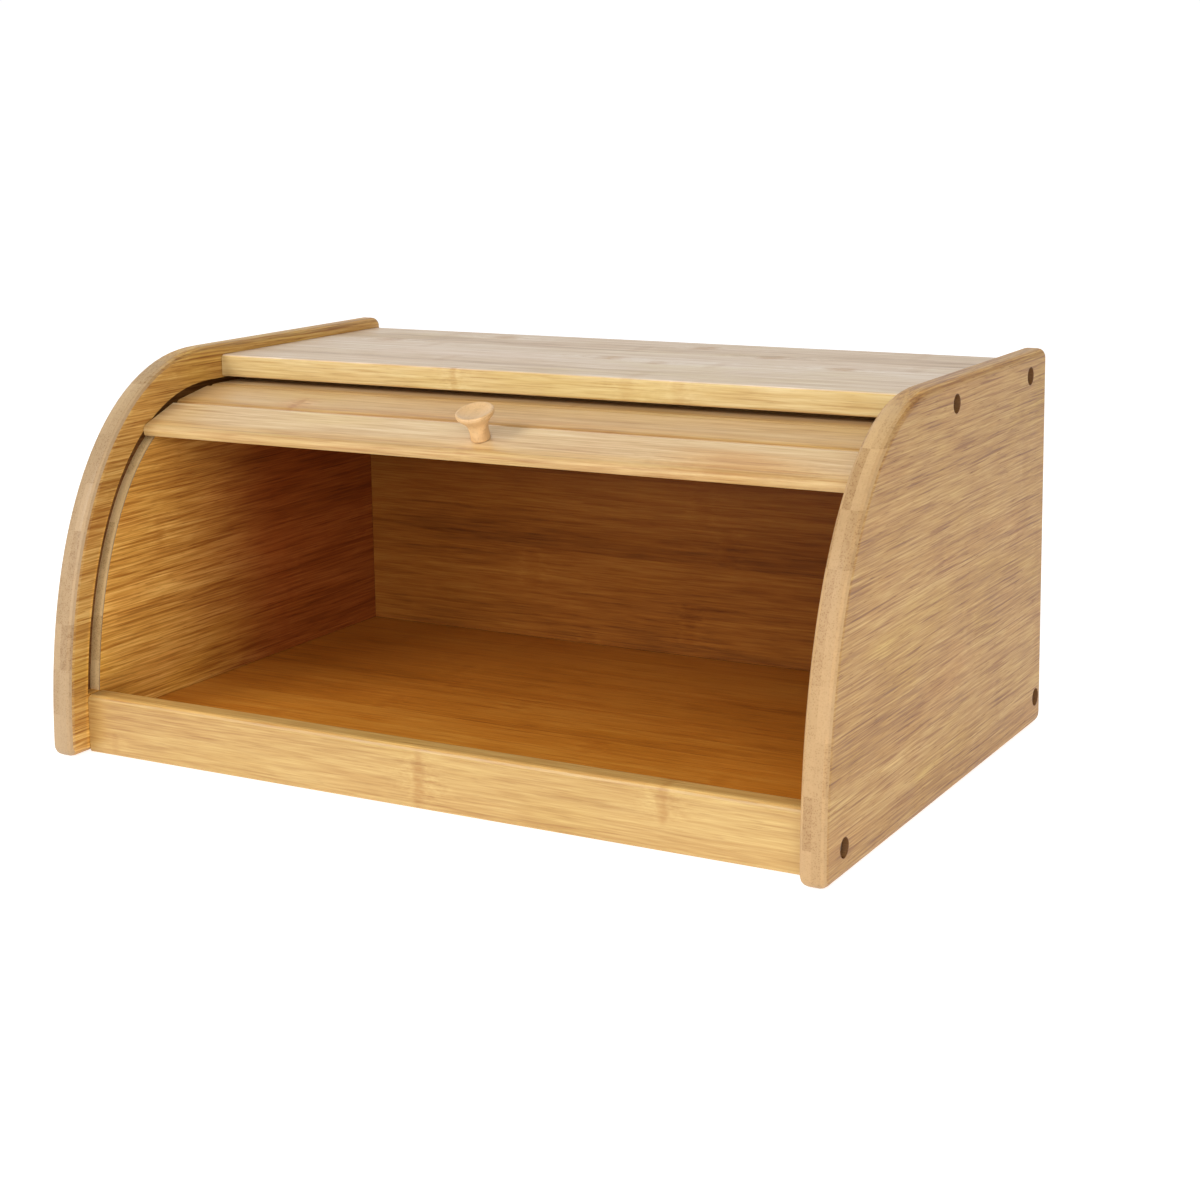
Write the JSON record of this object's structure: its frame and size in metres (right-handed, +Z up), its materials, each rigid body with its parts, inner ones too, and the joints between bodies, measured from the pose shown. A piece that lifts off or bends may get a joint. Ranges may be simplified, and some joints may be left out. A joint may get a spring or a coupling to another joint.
{
  "type": "bread box",
  "caption": "Wooden bread box with curved side panels, flat top board and a slatted roll door that runs in grooves and is drawn shut by a round knob.",
  "frame": {"origin": "middle of the footprint, on the surface that the box stands on", "axes": "+X across the width, -Y towards the opening in front, +Z up"},
  "size_m": [0.4, 0.267, 0.185],
  "materials": {
    "panel_wood": "satin lacquered bamboo, long grain along the depth",
    "board_wood": "satin lacquered bamboo, pale",
    "rail_wood": "satin lacquered bamboo, honey",
    "back_wood": "satin lacquered bamboo, brown",
    "slat_wood": "satin lacquered bamboo, pale honey",
    "knob_wood": "satin turned wood",
    "dowel_wood": "raw beech",
    "backing_cloth": "plain weave canvas",
    "screw_steel": "zinc plated"
  },
  "bodies": {
    "case": {"side_panel_left": "panel_wood", "side_panel_right": "panel_wood", "front_rail": "rail_wood", "back_panel": "back_wood", "top_board": "board_wood", "base_board": "back_wood", "screw_left_front": "screw_steel", "screw_left_back": "screw_steel", "screw_left_top_front": "screw_steel", "screw_left_top_rear": "screw_steel", "screw_right_front": "screw_steel", "screw_right_back": "screw_steel", "screw_right_top_front": "screw_steel", "screw_right_top_rear": "screw_steel", "dowel_left_front": "dowel_wood", "dowel_left_top": "dowel_wood", "dowel_left_back_lower": "dowel_wood", "dowel_left_back_upper": "dowel_wood", "dowel_right_front": "dowel_wood", "dowel_right_top": "dowel_wood", "dowel_right_back_lower": "dowel_wood", "dowel_right_back_upper": "dowel_wood"},
    "door_07": {"slat_07": "slat_wood", "canvas_section_07": "backing_cloth"},
    "door_06": {"slat_06": "slat_wood", "canvas_section_06": "backing_cloth"},
    "door_05": {"slat_05": "slat_wood", "canvas_section_05": "backing_cloth"},
    "door_04": {"slat_04": "slat_wood", "canvas_section_04": "backing_cloth"},
    "door_03": {"slat_03": "slat_wood", "canvas_section_03": "backing_cloth"},
    "door_02": {"slat_02": "slat_wood", "canvas_section_02": "backing_cloth"},
    "door_01": {"slat_01": "slat_wood", "canvas_section_01": "backing_cloth", "knob": "knob_wood", "knob_screw": "screw_steel"}
  },
  "joints": [
    {"name": "door_slide", "type": "slide", "parent": "case", "child": "door_07", "axis": [0, -1, 0], "range_m": [0, 0.1247]},
    {"name": "slat_bend_06_07", "type": "hinge", "parent": "door_07", "child": "door_06", "pos_m": [0, 0.086, 0.1604], "axis": [1, 0, 0], "range_deg": [0, 30.64]},
    {"name": "slat_bend_05_06", "type": "hinge", "parent": "door_06", "child": "door_05", "pos_m": [0, 0.0595, 0.1604], "axis": [1, 0, 0], "range_deg": [0, 14.56]},
    {"name": "slat_bend_04_05", "type": "hinge", "parent": "door_05", "child": "door_04", "pos_m": [0, 0.033, 0.1604], "axis": [1, 0, 0], "range_deg": [0, 14.14]},
    {"name": "slat_bend_03_04", "type": "hinge", "parent": "door_04", "child": "door_03", "pos_m": [0, 0.0065, 0.1604], "axis": [1, 0, 0], "range_deg": [0, 10.05]},
    {"name": "slat_bend_02_03", "type": "hinge", "parent": "door_03", "child": "door_02", "pos_m": [0, -0.02, 0.16039], "axis": [1, 0, 0], "range_deg": [-2.9, 0]},
    {"name": "slat_bend_01_02", "type": "hinge", "parent": "door_02", "child": "door_01", "pos_m": [0, -0.04605, 0.15554], "axis": [1, 0, 0], "range_deg": [-4.1, 0]}
  ],
  "couplings": [
    {"joint": "slat_bend_06_07", "follows": "door_slide", "rad_per_m": 4.288},
    {"joint": "slat_bend_05_06", "follows": "door_slide", "rad_per_m": 2.0381},
    {"joint": "slat_bend_04_05", "follows": "door_slide", "rad_per_m": 1.9784},
    {"joint": "slat_bend_03_04", "follows": "door_slide", "rad_per_m": 1.4068},
    {"joint": "slat_bend_02_03", "follows": "door_slide", "rad_per_m": -0.40614},
    {"joint": "slat_bend_01_02", "follows": "door_slide", "rad_per_m": -0.57306}
  ]
}
